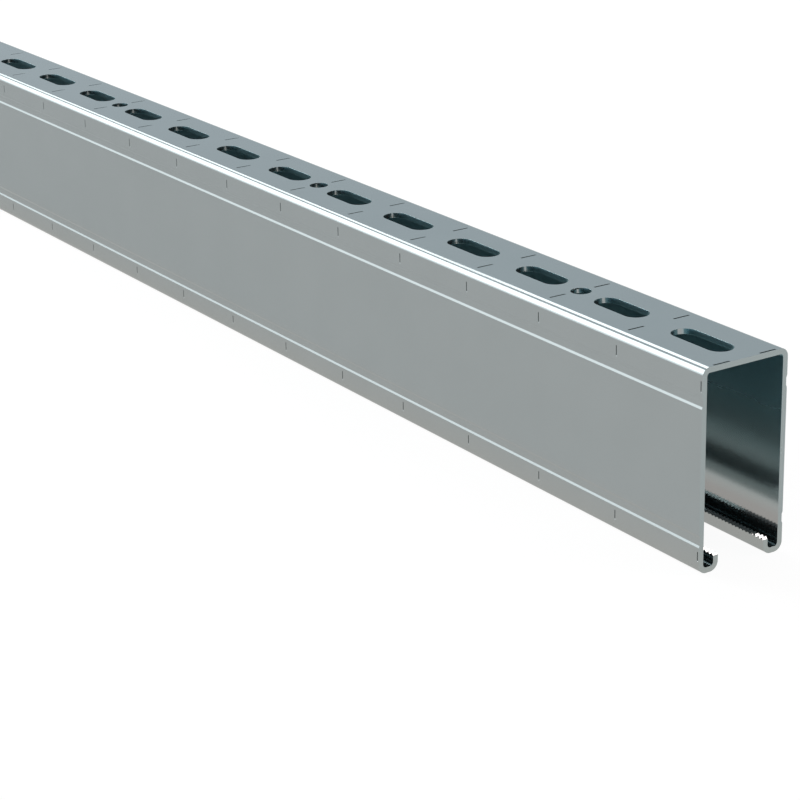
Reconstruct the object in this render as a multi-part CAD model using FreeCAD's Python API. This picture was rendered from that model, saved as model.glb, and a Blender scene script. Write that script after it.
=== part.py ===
import FreeCAD, Part
import math
import os

# Strut channel, deep section, cold-rolled from strip in one piece.
# Length runs along X, width along Y and height along Z.
# The web is on top. The lips are at the bottom, on z = 0.
# The sawn end that the photograph shows is at +X.

# section
LENGTH = 1000.0
WIDTH = 41.0
HEIGHT = 82.0
STRIP = 2.3
WEB_BEND = 3.6
LIP_BEND = 3.8
LIP_WIDTH = 9.4
LIP_HEIGHT = 7.0

# two shallow grooves are pressed along the outside of each wall, whose inside stays flat
GROOVE_DEPTH = 0.4
GROOVE_FLANK = 1.0
GROOVE_BEND = 0.5
GROOVE_WIDTH = 5.0
UPPER_GROOVE_DROP = 13.5
LOWER_GROOVE_RISE = 13.4

# teeth along the edge of each lip
TOOTH_PITCH = 2.0
TOOTH_DEPTH = 0.9
TOOTH_STOCK = 1.0

# slots along the middle of the web
FIRST_SLOT = 25.0
SLOT_PITCH = 50.0
SLOT_LENGTH = 31.0
SLOT_WIDTH = 11.0

# round holes between slots, and the shorter slots on both sides of each
FIRST_HOLE = 100.0
HOLE_PITCH = 200.0
HOLE_DIAMETER = 8.5
SLOT_CUT_BACK = 2.5

SAWN_END = LENGTH / 2
SIDE = WIDTH / 2
MARGIN = 1.0


def rounded_wire(corners):
    """Closed wire in the plane x = 0 through corners given as (y, z, radius)."""
    points = [FreeCAD.Vector(0, y, z) for y, z, radius in corners]
    count = len(points)
    edges = []
    last = None
    first = None
    for i in range(count):
        here = points[i]
        back = (points[i - 1] - here).normalize()
        on = (points[(i + 1) % count] - here).normalize()
        radius = corners[i][2]
        start = here
        end = here
        if radius > 0:
            half = back.getAngle(on) / 2
            start = here + back * (radius / math.tan(half))
            end = here + on * (radius / math.tan(half))
            to_arc = radius / math.sin(half) - radius
            middle = here + (back + on).normalize() * to_arc
        if last is None:
            first = start
        else:
            edges.append(Part.LineSegment(last, start).toShape())
        if radius > 0:
            edges.append(Part.Arc(start, middle, end).toShape())
        last = end
    edges.append(Part.LineSegment(last, first).toShape())
    return Part.Wire(edges)


def groove(middle):
    """Corners down one groove: in from the wall, down its floor and out again."""
    top = middle + GROOVE_WIDTH / 2
    bottom = middle - GROOVE_WIDTH / 2
    floor = SIDE - GROOVE_DEPTH
    return [
        (SIDE, top, GROOVE_BEND),
        (floor, top - GROOVE_FLANK, GROOVE_BEND),
        (floor, bottom + GROOVE_FLANK, GROOVE_BEND),
        (SIDE, bottom, GROOVE_BEND),
    ]


def half_section():
    """Corners of the +Y half, down the outside of the wall to the lip and back up the inside."""
    inside = SIDE - STRIP
    lip = SIDE - LIP_WIDTH
    stock = LIP_HEIGHT + TOOTH_STOCK
    outer = [(SIDE, HEIGHT, WEB_BEND)]
    outer += groove(HEIGHT - UPPER_GROOVE_DROP)
    outer += groove(LOWER_GROOVE_RISE)
    outer += [
        (SIDE, 0, LIP_BEND),
        (lip, 0, LIP_BEND),
        (lip, stock, 0),
    ]
    inner = [
        (lip + STRIP, stock, 0),
        (lip + STRIP, STRIP, LIP_BEND - STRIP),
        (inside, STRIP, LIP_BEND - STRIP),
        (inside, HEIGHT - STRIP, WEB_BEND - STRIP),
    ]
    return outer + inner


def rolled_length():
    right = half_section()
    left = [(-y, z, radius) for y, z, radius in right[::-1]]
    section = Part.Face(rounded_wire(right + left))
    section.translate(FreeCAD.Vector(-LENGTH / 2, 0, 0))
    return section.extrude(FreeCAD.Vector(LENGTH, 0, 0))


def tooth_cutter():
    """Zigzag prism that takes the spare stock off both lips, with a root at each end."""
    count = int(LENGTH / TOOTH_PITCH)
    x = -LENGTH / 2 - TOOTH_PITCH
    top = LIP_HEIGHT + TOOTH_STOCK + MARGIN
    reach = SIDE - LIP_WIDTH + STRIP + MARGIN
    points = [FreeCAD.Vector(x, -reach, top)]
    points.append(FreeCAD.Vector(x, -reach, LIP_HEIGHT - TOOTH_DEPTH))
    for i in range(count + 2):
        crest = x + TOOTH_PITCH / 2
        x = x + TOOTH_PITCH
        points.append(FreeCAD.Vector(crest, -reach, LIP_HEIGHT))
        points.append(FreeCAD.Vector(x, -reach, LIP_HEIGHT - TOOTH_DEPTH))
    points.append(FreeCAD.Vector(x, -reach, top))
    points.append(points[0])
    face = Part.Face(Part.makePolygon(points))
    return face.extrude(FreeCAD.Vector(0, 2 * reach, 0))


def slot_cutter(start, end):
    """Round-ended slot through the web, from one end to the other along X."""
    radius = SLOT_WIDTH / 2
    low = HEIGHT - STRIP - MARGIN
    near = FreeCAD.Vector(start + radius, -radius, low)
    far = FreeCAD.Vector(end - radius, -radius, low)
    far_tip = FreeCAD.Vector(end, 0, low)
    far_back = FreeCAD.Vector(end - radius, radius, low)
    near_back = FreeCAD.Vector(start + radius, radius, low)
    near_tip = FreeCAD.Vector(start, 0, low)
    outline = Part.Wire(
        [
            Part.LineSegment(near, far).toShape(),
            Part.Arc(far, far_tip, far_back).toShape(),
            Part.LineSegment(far_back, near_back).toShape(),
            Part.Arc(near_back, near_tip, near).toShape(),
        ]
    )
    return Part.Face(outline).extrude(FreeCAD.Vector(0, 0, STRIP + 2 * MARGIN))


def punched_holes():
    """Cutters for the slots and round holes, stepped off from the sawn end."""
    cutters = []
    hole_stations = []
    station = FIRST_HOLE
    while station < LENGTH:
        base = FreeCAD.Vector(SAWN_END - station, 0, HEIGHT - STRIP - MARGIN)
        cutters.append(Part.makeCylinder(HOLE_DIAMETER / 2, STRIP + 2 * MARGIN, base))
        hole_stations.append(station)
        station = station + HOLE_PITCH
    station = FIRST_SLOT
    while station < LENGTH:
        first = station - SLOT_LENGTH / 2
        last = station + SLOT_LENGTH / 2
        if station - SLOT_PITCH / 2 in hole_stations:
            first = first + SLOT_CUT_BACK
        if station + SLOT_PITCH / 2 in hole_stations:
            last = last - SLOT_CUT_BACK
        cutters.append(slot_cutter(SAWN_END - last, SAWN_END - first))
        station = station + SLOT_PITCH
    return cutters


os.makedirs("parts", exist_ok=True)

channel = rolled_length()
channel = channel.cut(punched_holes())
channel = channel.cut(tooth_cutter())
channel = channel.Solids[0]
channel.exportStep("parts/strut_channel.step")
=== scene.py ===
import bmesh
import bpy
import numpy as np
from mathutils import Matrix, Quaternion, Vector


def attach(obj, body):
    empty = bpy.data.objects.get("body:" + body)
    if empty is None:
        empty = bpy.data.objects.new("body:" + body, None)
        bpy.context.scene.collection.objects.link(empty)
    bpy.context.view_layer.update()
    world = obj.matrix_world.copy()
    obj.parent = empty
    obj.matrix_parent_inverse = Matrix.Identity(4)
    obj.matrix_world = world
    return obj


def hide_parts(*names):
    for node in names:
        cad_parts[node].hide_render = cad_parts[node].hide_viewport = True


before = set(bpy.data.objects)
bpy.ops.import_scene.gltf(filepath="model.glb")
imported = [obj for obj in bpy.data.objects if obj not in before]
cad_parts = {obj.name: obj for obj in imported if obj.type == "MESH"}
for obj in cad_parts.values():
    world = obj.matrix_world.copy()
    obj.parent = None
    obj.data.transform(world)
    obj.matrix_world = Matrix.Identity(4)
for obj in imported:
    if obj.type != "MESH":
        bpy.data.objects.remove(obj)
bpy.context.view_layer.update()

MM = 0.001

# the rolled section, in millimetres; SIDE and LIP_EDGE are distances from its middle plane
LENGTH = 1000.0
SIDE = 20.5
HEIGHT = 82.0
STRIP = 2.3
WEB_BEND = 3.6
LIP_BEND = 3.8
LIP_EDGE = 11.1
GROOVE_MIDDLES = (68.5, 13.4)
GROOVE_HALF = 2.5
GROOVE_DEPTH = 0.4
GROOVE_FLANK = 1.0
GROOVE_BEND = 0.5

# a flat has a row this far from each bend, so that its shading stays flat up to there
GUARD = 0.3

# steps of each arc of the section
WEB_BEND_STEPS = 20
LIP_BEND_STEPS = 18
GROOVE_BEND_STEPS = 4
POCKET_STEPS = 10
INNER_BEND_STEPS = 8

# teeth on the lip edges, and the height at which their faces begin
TOOTH_PITCH = 2.0
CREST = 7.0
ROOT = 6.1
CREST_FLAT = 0.1
ROOT_FLAT = 0.5
TOOTH_LEAN = 0.35
TOOTH_FOOT = 5.4

# slots and round holes down the web; stations run from the sawn end in the photograph
SLOT_PITCH = 50.0
SLOT_HALF = 15.5
SLOT_CUT_BACK = 2.5
SLOT_RADIUS = 5.5
HOLE_STATIONS = (100.0, 300.0, 500.0, 700.0, 900.0)
HOLE_RADIUS = 4.25

# the middle of the web: half its width, and half the length that a round hole takes of it
PUNCHED_HALF = 6.9
HOLE_CELL_HALF = 8.1

# edges of the openings: rounded over by the punch on top, broken out a little below
PUNCH_ROUND = 0.05
PUNCH_BREAK = 0.14
ROUND_STEPS = 4
BREAK_STEPS = 3
HALF_CIRCLE_STEPS = 18

# stamped ticks, one every 50 mm from just inside the sawn end
FIRST_TICK = 0.7
WALL_TICK_HALF = 0.25
WALL_TICK_DEPTH = 0.3
WEB_TICK_HALF = 0.46
WEB_TICK_DEPTH = 0.45
TICK_SLANT = 0.04
TICK_RUN_OUT = 0.08
WALL_TICK_RAMP = 0.38
WALL_TICKS = ((77.0, 72.7), (9.3, 5.4))
WEB_TICK = (7.2, 14.9)

# chamfer round the sawn ends
SAW_CHAMFER = 0.05

# metres within which points are joined and slivers dropped, and the angle above which an edge
# is shaded sharp
JOINED = 1e-6
SLIVER = 1e-7
SHARP_DEGREES = 35

# colours of the zinc and the sawn steel, and of the painted shade inside and in the lips' pockets
ZINC_DARK = (0.311, 0.34, 0.34)
ZINC_LIGHT = (0.319, 0.348, 0.348)
# painted shade inside the cavity and on the punched walls, low down, in the middle and high up,
# from grey to teal
PAINTED_SHADE_LOW = (0.304, 0.316, 0.316)
PAINTED_SHADE_MIDDLE = (0.335, 0.455, 0.475)
PAINTED_SHADE_HIGH = (0.25, 0.42, 0.465)
# painted shade in the lips' pockets
POCKET_PAINTED_SHADE = (0.18, 0.22, 0.225)
SAWN_STEEL = (0.328, 0.373, 0.373)
ZINC_METAL = 0.9
GRAZING_TINT = (0.68, 0.71, 0.72, 1)

# patterns of the zinc: scale, detail and roughness of each noise, and the part of it that counts
CLOUD = (38.0, 4.0, 0.55)
GRAIN = (900.0, 2.0, 0.6)
ROLLING = (1.0, 3.0, 0.6)
ROLLING_STRETCH = (6.0, 420.0, 420.0)
CLOUD_TINT_RANGE = (0.35, 0.65)
SHINE_RANGE = (0.3, 0.7)

# roughness of the zinc outside, and what the inside, punched walls and sawn ends add to it
CLOUD_ROUGHNESS = (0.1, 0.12)
ROLLING_ROUGHNESS = (0, 0.02)
INSIDE_ROUGHNESS = (-0.02, 0.05)
HIGH_ROUGHNESS = 0.13
PUNCHED_ROUGHNESS = 0.2
SAWN_ROUGHNESS = 0.14

# heights in metres between which the inside's painted shade and roughness change
LOW_TO_MIDDLE = (0.014, 0.029)
MIDDLE_TO_HIGH = (0.045, 0.06)
DULLER_UPWARDS = (0.015, 0.04)

# millimetres by which painted shade and finish reach past their faces, and the inside clears the
# teeth
FINISH_AND_SHADE_MARGIN = 0.1
TEETH_CLEARANCE = 1.0

# share of a normal across the channel at which a punched wall's painted shade and roughness
# begin, and are full
WALL_FACING = (0.4, 0.9)

# relief of the rolling lines and the grain between them
GRAIN_SHARE = 0.35
RELIEF_STRENGTH = 0.02
RELIEF_DEPTH = 0.0002

# the floor: half its width and its height in metres, its colour, and its colour where it is seen
FLOOR_HALF = 12.0
FLOOR_LEVEL = -0.0001
FLOOR_COLOUR = (0.8, 0.8, 0.8)
FLOOR_SEEN = (0.13, 0.13, 0.13)

# the floor's glow: warm under the channel, white from these metres beside it and past its ends,
# and its strength from near the middle to far away
WHITE = (1, 1, 1)
WARM_WHITE = (1.1, 1.035, 0.99)
BESIDE = (0.02, 0.05)
BEYOND_ENDS = (0.5, 0.53)
GLOW_REACH = (0.8, 2.4)
GLOW_STRENGTH = (0.935, 1.0)

# the surroundings: their colour in metal, their strength as light and where they are seen, and
# the directions' X and Z over which the dim patch of ceiling sets in, and how dim it is
SKY_IN_METAL = (0.895, 0.977, 1.035)
SKY_STRENGTH = (0.3, 1.0)
DIM_BEYOND = (0.3, 0.45)
DIM_OVERHEAD = (0.45, 0.6)
DIMMING = 0.9

# soft boxes: name, turn from overhead and half angle in degrees, distance from the channel's
# line, start and end along it in metres, radiance and colour
PALE_WARM = (1.0, 0.86, 0.84)
SOFT_BOXES = (
    ("overhead_box", -26.5, 18.5, 1.6, -1.7, -0.9, 3.0, WHITE),
    ("far_overhead_box", -16.0, 13.0, 1.6, -4.8, -1.7, 3.0, WHITE),
    ("side_box", 45.0, 25.5, 1.6, -1.7, -0.9, 3.0, WHITE),
    ("far_side_box", 43.5, 27.0, 1.6, -4.8, -1.7, 3.0, WHITE),
    ("low_side_box", 78.5, 8.0, 3.2, -9.5, -2.2, 1.42, WHITE),
    ("end_box", -49.0, 9.0, 0.8, 0.9, 1.2, 5.6, PALE_WARM),
    ("near_end_box", 38.5, 5.0, 0.3, 0.55, 0.708, 3.5, WHITE),
)
LAMP_LINE_HEIGHT = 0.08

# the camera fitted to the photograph: metres, degrees, and millimetres for sensor and lens
CAMERA_PLACE = (1.154484, -0.572593, 0.386435)
CAMERA_LOOK = (-0.788728, 0.507717, -0.346601)
CAMERA_ROLL = -1.33
SENSOR_WIDTH = 36.0
LENS = 111.97


def arc(centre, radius, start, stop, steps):
    """Circle arc: centre plus radius times the cosine and sine of an angle that runs evenly from
    start to stop."""
    turn = np.radians(np.linspace(start, stop, steps + 1))
    return np.stack([centre[0] + radius * np.cos(turn), centre[1] + radius * np.sin(turn)], 1)


def groove(middle):
    """Down one pressed groove: four equal small arcs, out, in, in and out, joined by straight
    flanks and a floor."""
    flank = np.degrees(np.arctan2(GROOVE_DEPTH, GROOVE_FLANK))
    tangent = GROOVE_BEND * np.tan(np.radians(flank) / 2)
    top = middle + GROOVE_HALF
    bottom = middle - GROOVE_HALF
    high = top - GROOVE_FLANK
    low = bottom + GROOVE_FLANK
    floor = SIDE - GROOVE_DEPTH
    outer = SIDE - GROOVE_BEND
    inner = floor + GROOVE_BEND
    return np.concatenate([
        [[SIDE, top + GUARD + tangent]],
        arc((outer, top + tangent), GROOVE_BEND, 0, -flank, GROOVE_BEND_STEPS),
        arc((inner, high - tangent), GROOVE_BEND, 180 - flank, 180, GROOVE_BEND_STEPS),
        [[floor, high - GUARD - tangent], [floor, low + GUARD + tangent]],
        arc((inner, low + tangent), GROOVE_BEND, 180, 180 + flank, GROOVE_BEND_STEPS),
        arc((outer, bottom - tangent), GROOVE_BEND, flank, 0, GROOVE_BEND_STEPS),
        [[SIDE, bottom - GUARD - tangent]],
    ])


def tick_rows(top, bottom, ramp=TICK_RUN_OUT):
    """Rows that a tick needs: its two ends on the face, and the two ends of its floor."""
    return [top, top - TICK_RUN_OUT, bottom + ramp, bottom]


def on_tick_floor(rows, bottom, top, ramp=TICK_RUN_OUT):
    """Which rows lie on a tick's floor, between the middles of the slopes at its two ends."""
    return (rows > bottom + ramp / 2) & (rows < top - TICK_RUN_OUT / 2)


def outer_half():
    """Outside of the +Y half, from beside the slots over the bend, down the wall and round the
    lip to its teeth."""
    bend = SIDE - WEB_BEND
    near_tick, far_tick = WEB_TICK
    web = [PUNCHED_HALF] + tick_rows(far_tick, near_tick)[::-1] + [bend - GUARD]
    lip_foot = SIDE - LIP_BEND
    leg = LIP_EDGE + LIP_BEND
    high_wall = [HEIGHT - WEB_BEND - GUARD] + tick_rows(*WALL_TICKS[0], WALL_TICK_RAMP)
    low_wall = tick_rows(*WALL_TICKS[1], WALL_TICK_RAMP) + [LIP_BEND + GUARD]
    return np.concatenate([
        [[across, HEIGHT] for across in web],
        arc((bend, HEIGHT - WEB_BEND), WEB_BEND, 90, 0, WEB_BEND_STEPS),
        [[SIDE, up] for up in high_wall],
        groove(GROOVE_MIDDLES[0]),
        groove(GROOVE_MIDDLES[1]),
        [[SIDE, up] for up in low_wall],
        arc((lip_foot, LIP_BEND), LIP_BEND, 0, -90, LIP_BEND_STEPS),
        [[lip_foot - GUARD, 0], [leg + GUARD, 0]],
        arc((leg, LIP_BEND), LIP_BEND, -90, -180, LIP_BEND_STEPS),
        [[LIP_EDGE, LIP_BEND + GUARD], [LIP_EDGE, TOOTH_FOOT]],
    ])


def inner_half():
    """Inside of the +Y half, from the teeth down into the lip's pocket, up the wall and along
    under the web."""
    pocket = LIP_BEND - STRIP
    face = LIP_EDGE + STRIP
    near = face + pocket
    far = SIDE - LIP_BEND
    wall = SIDE - STRIP
    bend = SIDE - WEB_BEND
    bend_height = HEIGHT - WEB_BEND
    under = HEIGHT - STRIP
    return np.concatenate([
        [[face, TOOTH_FOOT], [face, LIP_BEND + GUARD]],
        arc((near, LIP_BEND), pocket, 180, 270, POCKET_STEPS),
        [[near + GUARD, STRIP], [far - GUARD, STRIP]],
        arc((far, LIP_BEND), pocket, 270, 360, POCKET_STEPS),
        [[wall, LIP_BEND + GUARD], [wall, bend_height - GUARD]],
        arc((bend, bend_height), WEB_BEND - STRIP, 0, 90, INNER_BEND_STEPS),
        [[bend - GUARD, under], [PUNCHED_HALF, under]],
    ])


def slot_ends(number):
    """Stations of a slot's two tips; one beside a round hole is cut back on that side."""
    middle = SLOT_PITCH * (number + 0.5)
    first = middle - SLOT_HALF
    last = middle + SLOT_HALF
    if middle - SLOT_PITCH / 2 in HOLE_STATIONS:
        first = first + SLOT_CUT_BACK
    if middle + SLOT_PITCH / 2 in HOLE_STATIONS:
        last = last - SLOT_CUT_BACK
    return first, last


def web_cells():
    """The middle of the web in lengths along the channel, each holding one opening, as start,
    end, the centres of the opening's two round ends, and its radius."""
    cells = []
    for number in range(int(LENGTH / SLOT_PITCH)):
        start = SLOT_PITCH * number
        end = start + SLOT_PITCH
        if start in HOLE_STATIONS:
            hole = (start - HOLE_CELL_HALF, start + HOLE_CELL_HALF, (start, start), HOLE_RADIUS)
            cells.append(hole)
            start = start + HOLE_CELL_HALF
        if end in HOLE_STATIONS:
            end = end - HOLE_CELL_HALF
        first, last = slot_ends(number)
        centres = (first + SLOT_RADIUS, last - SLOT_RADIUS)
        start = max(start, SAW_CHAMFER)
        end = min(end, LENGTH - SAW_CHAMFER)
        cells.append((start, end, centres, SLOT_RADIUS))
    return cells


def tick_middles():
    """Stations of the stamped ticks: the first, and one a slot's pitch further on each time."""
    return FIRST_TICK + SLOT_PITCH * np.arange(int(LENGTH / SLOT_PITCH))


def stations(cells):
    """Every station at which the section is set down: the edges of the ticks and their floors,
    every slot's pitch, and both ends of each cell."""
    outside = np.array([WALL_TICK_HALF, WEB_TICK_HALF])
    halves = np.concatenate([outside, outside - TICK_SLANT])
    edges = (tick_middles()[:, None] + np.concatenate([-halves, halves])).ravel()
    modules = SLOT_PITCH * np.arange(1, int(LENGTH / SLOT_PITCH))
    cuts = np.array([cell[:2] for cell in cells]).ravel()
    return np.unique(np.round(np.concatenate([edges, modules, cuts]), 6))


def pressed(along, half, depth):
    """Depth at each station: the full depth on a tick's floor and none elsewhere."""
    away = np.abs(along[:, None] - tick_middles()).min(axis=1)
    return depth * (away < half - TICK_SLANT / 2)


class Sheet:
    """Collects patches of vertices and faces, in stations, widths and heights, for one mesh."""

    def __init__(self):
        self.points = []
        self.faces = []
        self.count = 0

    def add(self, points, faces):
        """Faces numbered from the patch's own first point."""
        self.points.append(points)
        self.faces.extend((np.asarray(faces) + self.count).tolist())
        self.count += len(points)

    def grid(self, surface):
        """Quads over an array of points with rows and columns."""
        rows, columns = surface.shape[:2]
        number = np.arange(rows * columns).reshape(rows, columns)
        corners = [number[:-1, :-1], number[1:, :-1], number[1:, 1:], number[:-1, 1:]]
        self.add(surface.reshape(-1, 3), np.stack(corners, -1).reshape(-1, 4))

    def polygon(self, outline):
        """One flat face with the outline's points for corners."""
        self.add(outline, [np.arange(len(outline))])


def in_space(along, across, up):
    """Points from stations, widths and heights that are spread over each other."""
    along, across, up = np.broadcast_arrays(along, across, up)
    return np.stack([along, across, up], -1)


def rolled_faces(sheet, side, along):
    """Section times stations: each section point is set down at each station, and pushed in by
    the tick's depth where both its row and its station lie on a tick's floor."""
    outer = outer_half()
    on_web = (outer[:, 1] == HEIGHT) & on_tick_floor(outer[:, 0], *WEB_TICK)
    on_wall = np.zeros(len(outer), bool)
    for top, bottom in WALL_TICKS:
        rows = on_tick_floor(outer[:, 1], bottom, top, WALL_TICK_RAMP)
        on_wall |= (outer[:, 0] == SIDE) & rows
    into_wall = on_wall[:, None] * pressed(along, WALL_TICK_HALF, WALL_TICK_DEPTH)
    into_web = on_web[:, None] * pressed(along, WEB_TICK_HALF, WEB_TICK_DEPTH)
    across = outer[:, :1] - into_wall
    up = outer[:, 1:] - into_web
    sheet.grid(in_space(along, side * across, up))
    inner = inner_half()
    sheet.grid(in_space(along, side * inner[:, :1], inner[:, 1:]))


def tooth_line():
    """Line of teeth along a lip edge: half a flat root, up to a narrow flat crest, down, and half
    the next root."""
    count = int(LENGTH / TOOTH_PITCH)
    start = TOOTH_PITCH * np.arange(count)
    half = TOOTH_PITCH / 2
    foot = ROOT_FLAT / 2
    crest = CREST_FLAT / 2
    step = np.array([0, foot, half - crest, half + crest, TOOTH_PITCH - foot])
    along = np.append((start[:, None] + step).ravel(), LENGTH)
    up = np.append(np.tile([ROOT, ROOT, CREST, CREST, ROOT], count), ROOT)
    along[[0, -1]] = [SAW_CHAMFER, LENGTH - SAW_CHAMFER]
    return along, up


def toothed_edge(sheet, side, along):
    """The zigzag carried through the strip, whose outer faces lean in by a share of the height
    above the root, and the two flat faces below it, cut at every slot's pitch: up to the roots
    outside and up to the zigzag inside."""
    line, up = tooth_line()
    lean = TOOTH_LEAN * (up - ROOT) / (CREST - ROOT)
    outer = in_space(line, side * (LIP_EDGE + lean), up)
    inner = in_space(line, side * (LIP_EDGE + STRIP), up)
    sheet.grid(np.array([outer, inner]))
    # of the five points of each tooth, the last four are the corners of its outer face
    leaning = outer[:-1].reshape(-1, 5, 3)[:, 1:].reshape(-1, 3)
    sheet.add(leaning, np.arange(len(leaning)).reshape(-1, 4))
    modules = np.arange(0, LENGTH + 1, SLOT_PITCH).clip(SAW_CHAMFER, LENGTH - SAW_CHAMFER)
    for start, end in zip(modules[:-1], modules[1:]):
        feet = along[(along >= start) & (along <= end)]
        part = (line >= start) & (line <= end)
        for face, top in ((outer, part & (up == ROOT)), (inner, part)):
            foot = in_space(feet, face[0, 1], TOOTH_FOOT)
            sheet.polygon(np.concatenate([foot, face[top][::-1]]))


def opening(centres, radius, offset):
    """Outline round two centres at a distance of radius plus offset, as two half circles joined
    by straight runs."""
    turn = np.linspace(-np.pi / 2, np.pi / 2, HALF_CIRCLE_STEPS + 1)
    reach = (radius + offset) * np.cos(turn)
    across = (radius + offset) * np.sin(turn)
    far = np.stack([centres[1] + reach, across], 1)
    near = np.stack([centres[0] - reach, -across], 1)
    return np.concatenate([far, near])


def punched_wall(sheet, centres, radius):
    """Outline times depth: rounded over at the top, straight down through the strip, broken out
    a little below; gives back the offsets of its outermost rings, on top and underneath."""
    under = HEIGHT - STRIP
    profile = np.concatenate([
        [[PUNCH_ROUND + GUARD, HEIGHT]],
        arc((PUNCH_ROUND, HEIGHT - PUNCH_ROUND), PUNCH_ROUND, 90, 180, ROUND_STEPS),
        arc((PUNCH_BREAK, under + PUNCH_BREAK), PUNCH_BREAK, 180, 270, BREAK_STEPS),
        [[PUNCH_BREAK + GUARD, under]],
    ])
    rings = []
    for offset, height in profile:
        outline = opening(centres, radius, offset)
        closed = np.concatenate([outline, outline[:1]])
        rings.append(in_space(closed[:, 0], closed[:, 1], height))
    sheet.grid(np.array(rings))
    return profile[0, 0], profile[-1, 0]


def slotted_web(sheet, cells, along):
    """Flat faces between each opening's outermost ring and the rolled faces beside it, on top and
    underneath, as one half and its mirror image in the middle plane."""
    for start, end, centres, radius in cells:
        offsets = punched_wall(sheet, centres, radius)
        edge = along[(along >= start) & (along <= end)]
        for offset, height in zip(offsets, (HEIGHT, HEIGHT - STRIP)):
            outline = opening(centres, radius, offset)
            quarter = len(outline) // 4
            half = np.roll(outline, -quarter, axis=0)[:2 * quarter + 2]
            ring = in_space(half[:, 0], half[:, 1], height)
            rim = in_space(edge, PUNCHED_HALF, height)
            ends = in_space([start, end], 0, height)
            half_face = np.concatenate([ends[:1], rim, ends[1:], ring])
            sheet.polygon(half_face)
            sheet.polygon(half_face * [1, -1, 1])


def section_ring():
    """The whole section as one closed line of widths and heights, with the tooth roots and both
    web centres."""
    leg = [[LIP_EDGE, ROOT], [LIP_EDGE + STRIP, ROOT]]
    half = np.concatenate([outer_half(), leg, inner_half()])
    other = half[::-1] * [-1, 1]
    return np.concatenate([[[0, HEIGHT]], half, [[0, HEIGHT - STRIP]], other])


def shrunk(ring, amount):
    """Ring moved inwards: each corner goes along the sum of its two edge normals, divided by one
    plus their dot product."""
    ahead = np.roll(ring, -1, axis=0) - ring
    normal = np.stack([ahead[:, 1], -ahead[:, 0]], 1)
    normal /= np.linalg.norm(normal, axis=1)[:, None]
    before = np.roll(normal, 1, axis=0)
    share = 1 + (normal * before).sum(1)
    return ring + amount * (normal + before) / share[:, None]


def sawn_ends(sheet):
    """The section ring at each end, chamfered to a slightly smaller ring that a flat face
    closes."""
    ring = section_ring()
    face = shrunk(ring, SAW_CHAMFER)
    for end, inwards in ((0.0, SAW_CHAMFER), (LENGTH, -SAW_CHAMFER)):
        edge = in_space(end + inwards, ring[:, 0], ring[:, 1])
        flat = in_space(end, face[:, 0], face[:, 1])
        band = np.array([edge, flat])
        sheet.grid(np.concatenate([band, band[:, :1]], axis=1))
        sheet.polygon(flat)


def channel_piece():
    """All patches in one closed mesh, with the sawn end in the photograph at +X."""
    sheet = Sheet()
    cells = web_cells()
    along = stations(cells)
    for side in (1, -1):
        rolled_faces(sheet, side, along)
        toothed_edge(sheet, side, along)
    slotted_web(sheet, cells, along)
    sawn_ends(sheet)
    points = np.concatenate(sheet.points)
    points = points * [-MM, MM, MM] + [LENGTH / 2 * MM, 0, 0]
    mesh = bpy.data.meshes.new("channel_surface")
    mesh.from_pydata(points, [], sheet.faces)
    work = bmesh.new()
    work.from_mesh(mesh)
    bmesh.ops.remove_doubles(work, verts=work.verts, dist=JOINED)
    bmesh.ops.dissolve_degenerate(work, dist=SLIVER, edges=work.edges)
    bmesh.ops.recalc_face_normals(work, faces=work.faces)
    work.to_mesh(mesh)
    work.free()
    mesh.shade_smooth()
    mesh.set_sharp_from_angle(angle=np.radians(SHARP_DEGREES))
    piece = bpy.data.objects.new("channel", mesh)
    bpy.context.scene.collection.objects.link(piece)
    return piece


class Nodes:
    """Short way to add and join nodes of one material or world."""

    def __init__(self, owner):
        owner.use_nodes = True
        self.tree = owner.node_tree
        self.tree.nodes.clear()

    def add(self, kind, **settings):
        """New node with its settings."""
        node = self.tree.nodes.new(kind)
        for name, value in settings.items():
            setattr(node, name, value)
        return node

    def join(self, source, target):
        """Link from one socket to another."""
        self.tree.links.new(source, target)

    def axes(self, vector):
        """X, Y and Z of a vector."""
        node = self.add("ShaderNodeSeparateXYZ")
        self.join(vector, node.inputs[0])
        return node.outputs

    def maths(self, how, first, second):
        """Sum of two values, or what else the named operation makes of them."""
        node = self.add("ShaderNodeMath", operation=how)
        for socket, value in zip(node.inputs, (first, second)):
            if isinstance(value, (int, float)):
                socket.default_value = value
            else:
                self.join(value, socket)
        return node.outputs[0]

    def size(self, value):
        """Value without its sign."""
        return self.maths("ABSOLUTE", value, 0)

    def both(self, first, second):
        """Product of two values."""
        return self.maths("MULTIPLY", first, second)

    def spread(self, value, low, high, to_low, to_high):
        """Value stretched from one range to another and held there."""
        node = self.add("ShaderNodeMapRange")
        for socket, number in zip(node.inputs[1:5], (low, high, to_low, to_high)):
            socket.default_value = number
        self.join(value, node.inputs[0])
        return node.outputs[0]

    def blend(self, amount, first, second):
        """Colour between two, each fixed or worked out, by an amount from 0 to 1; a mix takes
        its colours at inputs 6 and 7 and gives one at output 2."""
        mix = self.add("ShaderNodeMix", data_type="RGBA")
        self.join(amount, mix.inputs[0])
        for socket, colour in zip(mix.inputs[6:8], (first, second)):
            if isinstance(colour, tuple):
                socket.default_value = (*colour, 1)
            else:
                self.join(colour, socket)
        return mix.outputs[2]

    def noise(self, place, scale, detail, rough):
        """Noise pattern over a place."""
        node = self.add("ShaderNodeTexNoise")
        node.inputs["Scale"].default_value = scale
        node.inputs["Detail"].default_value = detail
        node.inputs["Roughness"].default_value = rough
        self.join(place, node.inputs["Vector"])
        return node.outputs["Fac"]

    def scaled(self, place, scale):
        """Place times a scale of its own for each axis."""
        node = self.add("ShaderNodeMapping")
        node.inputs["Scale"].default_value = scale
        self.join(place, node.inputs["Vector"])
        return node.outputs[0]


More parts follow.
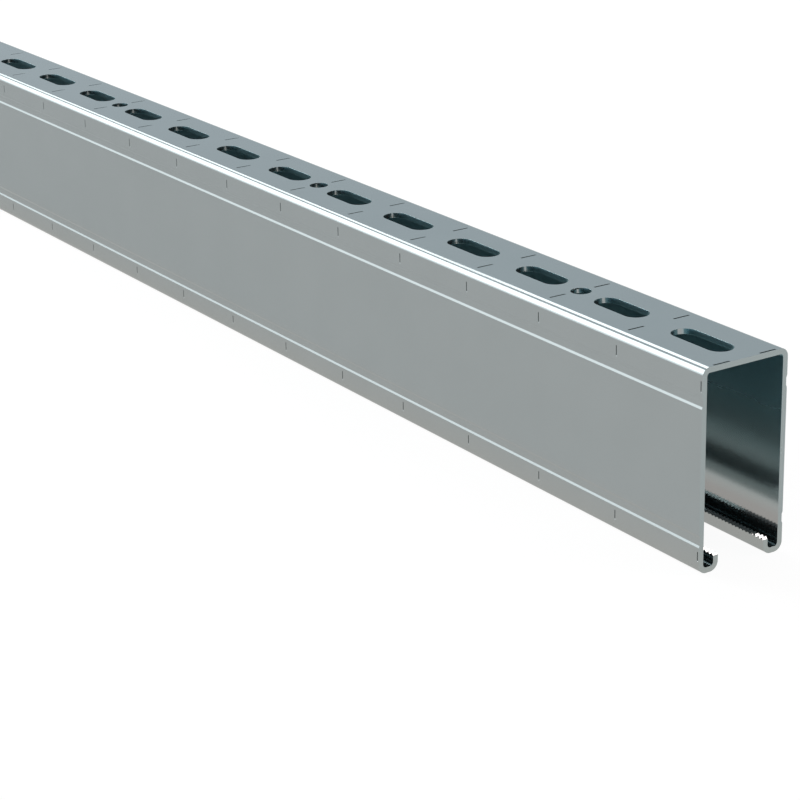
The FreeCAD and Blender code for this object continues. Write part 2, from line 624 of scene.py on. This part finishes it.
def finish_and_painted_shade_masks(nodes, place):
    """Height of a place, and how much of each finish and painted shade it has, from 0 to 1: the
    sawn ends, the cavity, the cavity above the lips and the walls of the openings, which take
    painted shade, and the lips' pockets, which take a darker painted shade."""
    along, across, up = [nodes.size(axis) for axis in nodes.axes(place)]
    sawn = nodes.maths("GREATER_THAN", along, (LENGTH / 2 - SAW_CHAMFER / 2) * MM)
    within = nodes.maths("LESS_THAN", across, (SIDE - STRIP + FINISH_AND_SHADE_MARGIN) * MM)
    beneath = nodes.maths("LESS_THAN", up, (HEIGHT - STRIP + FINISH_AND_SHADE_MARGIN) * MM)
    above_lips = nodes.maths("GREATER_THAN", up, (CREST + TEETH_CLEARANCE) * MM)
    cavity = nodes.both(within, beneath)
    inside = nodes.both(cavity, above_lips)
    normal = nodes.axes(nodes.add("ShaderNodeNewGeometry").outputs["Normal"])
    sideways = nodes.spread(nodes.size(normal["Y"]), *WALL_FACING, 0, 1)
    middle = nodes.maths("LESS_THAN", across, (SLOT_RADIUS + PUNCH_BREAK) * MM)
    strip = nodes.maths("GREATER_THAN", up, (HEIGHT - STRIP) * MM)
    punched = nodes.both(nodes.both(middle, strip), sideways)
    # the lips' pockets, behind the teeth below the inside, which take a darker painted shade
    behind_teeth = nodes.maths("GREATER_THAN", across, (LIP_EDGE + STRIP - FINISH_AND_SHADE_MARGIN) * MM)
    pocket = nodes.both(behind_teeth, nodes.maths("SUBTRACT", cavity, inside))
    return up, sawn, cavity, inside, punched, pocket


def satin_zinc():
    """Bright zinc over cold-rolled strip: cloudy patches, fine lines along the rolling, duller
    inside, painted shade that is bluer inside and on the punched walls and darker in the lips'
    pockets, and lighter where it is sawn."""
    material = bpy.data.materials.new("satin_zinc")
    nodes = Nodes(material)
    place = nodes.add("ShaderNodeTexCoord").outputs["Object"]
    up, sawn, cavity, inside, punched, pocket = finish_and_painted_shade_masks(nodes, place)
    cloud = nodes.noise(place, *CLOUD)
    grain = nodes.noise(place, *GRAIN)
    rolling = nodes.noise(nodes.scaled(place, ROLLING_STRETCH), *ROLLING)

    high = nodes.spread(up, *MIDDLE_TO_HIGH, 0, 1)
    # painted shade of the inside and the punched walls, changing with height
    shade = nodes.blend(nodes.spread(up, *LOW_TO_MIDDLE, 0, 1), PAINTED_SHADE_LOW, PAINTED_SHADE_MIDDLE)
    shade = nodes.blend(high, shade, PAINTED_SHADE_HIGH)
    zinc = nodes.blend(nodes.spread(cloud, *CLOUD_TINT_RANGE, 0, 1), ZINC_DARK, ZINC_LIGHT)
    # the inside and the punched walls take the painted shade in place of the zinc's colour
    zinc = nodes.blend(nodes.maths("MAXIMUM", inside, punched), zinc, shade)
    # the lips' pockets take a darker painted shade
    zinc = nodes.blend(pocket, zinc, POCKET_PAINTED_SHADE)
    zinc = nodes.blend(sawn, zinc, SAWN_STEEL)

    shine = nodes.spread(cloud, *SHINE_RANGE, *CLOUD_ROUGHNESS)
    shine = nodes.maths("ADD", shine, nodes.spread(rolling, *SHINE_RANGE, *ROLLING_ROUGHNESS))
    deep = nodes.spread(up, *DULLER_UPWARDS, *INSIDE_ROUGHNESS)
    deep = nodes.maths("ADD", deep, nodes.both(high, HIGH_ROUGHNESS))
    shine = nodes.maths("ADD", shine, nodes.both(inside, deep))
    shine = nodes.maths("ADD", shine, nodes.both(punched, PUNCHED_ROUGHNESS))
    shine = nodes.maths("ADD", shine, nodes.both(sawn, SAWN_ROUGHNESS))

    relief = nodes.maths("ADD", rolling, nodes.both(grain, GRAIN_SHARE))
    relief = nodes.both(relief, nodes.maths("SUBTRACT", 1, cavity))
    bump = nodes.add("ShaderNodeBump")
    bump.inputs["Strength"].default_value = RELIEF_STRENGTH
    bump.inputs["Distance"].default_value = RELIEF_DEPTH
    nodes.join(relief, bump.inputs["Height"])

    shader = nodes.add("ShaderNodeBsdfPrincipled")
    shader.inputs["Metallic"].default_value = ZINC_METAL
    shader.inputs["Specular Tint"].default_value = GRAZING_TINT
    nodes.join(zinc, shader.inputs["Base Color"])
    nodes.join(shine, shader.inputs["Roughness"])
    nodes.join(bump.outputs[0], shader.inputs["Normal"])
    out = nodes.add("ShaderNodeOutputMaterial")
    nodes.join(shader.outputs[0], out.inputs["Surface"])
    return material


def seen_plainly(nodes, path):
    """1 for rays from the camera, a gloss or a transmission, 0 for rays that carry light."""
    seen = nodes.maths("MAXIMUM", path["Is Camera Ray"], path["Is Glossy Ray"])
    return nodes.maths("MAXIMUM", seen, path["Is Transmission Ray"])


def matt_white(material):
    """Matt colour plus, where the floor is seen, a glow most of the way to white; in metal the
    glow under the channel is a little warmer."""
    nodes = Nodes(material)
    path = nodes.add("ShaderNodeLightPath").outputs
    seen = seen_plainly(nodes, path)
    place = nodes.add("ShaderNodeTexCoord").outputs["Object"]
    reach = nodes.add("ShaderNodeVectorMath", operation="LENGTH")
    nodes.join(place, reach.inputs[0])
    axes = nodes.axes(place)
    aside = nodes.spread(nodes.size(axes["Y"]), *BESIDE, 0, 1)
    ahead = nodes.spread(nodes.size(axes["X"]), *BEYOND_ENDS, 0, 1)
    plain = nodes.maths("MAXIMUM", nodes.maths("MAXIMUM", aside, ahead), path["Is Camera Ray"])
    matt = nodes.add("ShaderNodeBsdfDiffuse")
    nodes.join(nodes.blend(seen, FLOOR_COLOUR, FLOOR_SEEN), matt.inputs["Color"])
    glow = nodes.add("ShaderNodeEmission")
    nodes.join(nodes.blend(plain, WARM_WHITE, WHITE), glow.inputs["Color"])
    strength = nodes.spread(reach.outputs["Value"], *GLOW_REACH, *GLOW_STRENGTH)
    nodes.join(nodes.both(seen, strength), glow.inputs["Strength"])
    added = nodes.add("ShaderNodeAddShader")
    nodes.join(matt.outputs[0], added.inputs[0])
    nodes.join(glow.outputs[0], added.inputs[1])
    out = nodes.add("ShaderNodeOutputMaterial")
    nodes.join(added.outputs[0], out.inputs["Surface"])


def pale_floor():
    """Wide square floor just under the channel, so that only the shadow shows on it."""
    mesh = bpy.data.meshes.new("floor")
    half = FLOOR_HALF
    low = FLOOR_LEVEL
    corners = [(-half, -half, low), (half, -half, low), (half, half, low), (-half, half, low)]
    mesh.from_pydata(corners, [], [(0, 1, 2, 3)])
    floor = bpy.data.objects.new("floor", mesh)
    bpy.context.scene.collection.objects.link(floor)
    material = bpy.data.materials.new("pale_floor")
    matt_white(material)
    floor.data.materials.append(material)


def white_surroundings():
    """World that is white where it is seen and lends only a little light; metal also shows a dim
    patch of ceiling beyond the sawn end, where the direction's X and Z are both large."""
    world = bpy.data.worlds.new("studio")
    bpy.context.scene.world = world
    nodes = Nodes(world)
    path = nodes.add("ShaderNodeLightPath").outputs
    seen = seen_plainly(nodes, path)
    glossy = path["Is Glossy Ray"]
    direction = nodes.axes(nodes.add("ShaderNodeTexCoord").outputs["Generated"])
    beyond = nodes.spread(direction["X"], *DIM_BEYOND, 0, 1)
    overhead = nodes.spread(direction["Z"], *DIM_OVERHEAD, 0, DIMMING)
    dim = nodes.both(nodes.both(beyond, overhead), glossy)
    strength = nodes.maths("SUBTRACT", nodes.spread(seen, 0, 1, *SKY_STRENGTH), dim)
    sky = nodes.add("ShaderNodeBackground")
    nodes.join(nodes.blend(glossy, WHITE, SKY_IN_METAL), sky.inputs["Color"])
    nodes.join(strength, sky.inputs["Strength"])
    out = nodes.add("ShaderNodeOutputWorld")
    nodes.join(sky.outputs[0], out.inputs["Surface"])


def soft_box(name, turn, half_angle, distance, start, end, radiance, colour):
    """Long soft box beside the channel's line, turned from overhead about that line and facing
    it: its width is twice the distance times the tangent of its half angle."""
    turn = np.radians(turn)
    lamp = bpy.data.lights.new(name, "AREA")
    lamp.shape = "RECTANGLE"
    lamp.size = end - start
    lamp.size_y = 2 * distance * np.tan(np.radians(half_angle))
    lamp.energy = radiance * np.pi * lamp.size * lamp.size_y
    lamp.color = colour
    box = bpy.data.objects.new(name, lamp)
    bpy.context.scene.collection.objects.link(box)
    away = Vector((0, -np.sin(turn), np.cos(turn)))
    box.location = away * distance + Vector(((start + end) / 2, 0, LAMP_LINE_HEIGHT))
    box.rotation_mode = "QUATERNION"
    box.rotation_quaternion = Quaternion((1, 0, 0), turn)
    box.visible_camera = False


def photo_camera():
    """Camera fitted to the photograph's own lines, from its place, the way it looks, its roll and
    its lens."""
    data = bpy.data.cameras.new("camera")
    data.sensor_width = SENSOR_WIDTH
    data.lens = LENS
    data.clip_start = 0.01
    data.clip_end = 100.0
    camera = bpy.data.objects.new("camera", data)
    bpy.context.scene.collection.objects.link(camera)
    camera.location = CAMERA_PLACE
    camera.rotation_mode = "QUATERNION"
    level = Vector(CAMERA_LOOK).to_track_quat("-Z", "Y")
    camera.rotation_quaternion = level @ Quaternion((0, 0, 1), np.radians(CAMERA_ROLL))
    bpy.context.scene.camera = camera


channel = channel_piece()
channel.data.materials.append(satin_zinc())
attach(channel, "root")
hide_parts("strut_channel")

pale_floor()
white_surroundings()
for box in SOFT_BOXES:
    soft_box(*box)
photo_camera()

scene = bpy.context.scene
scene.view_settings.view_transform = "Standard"
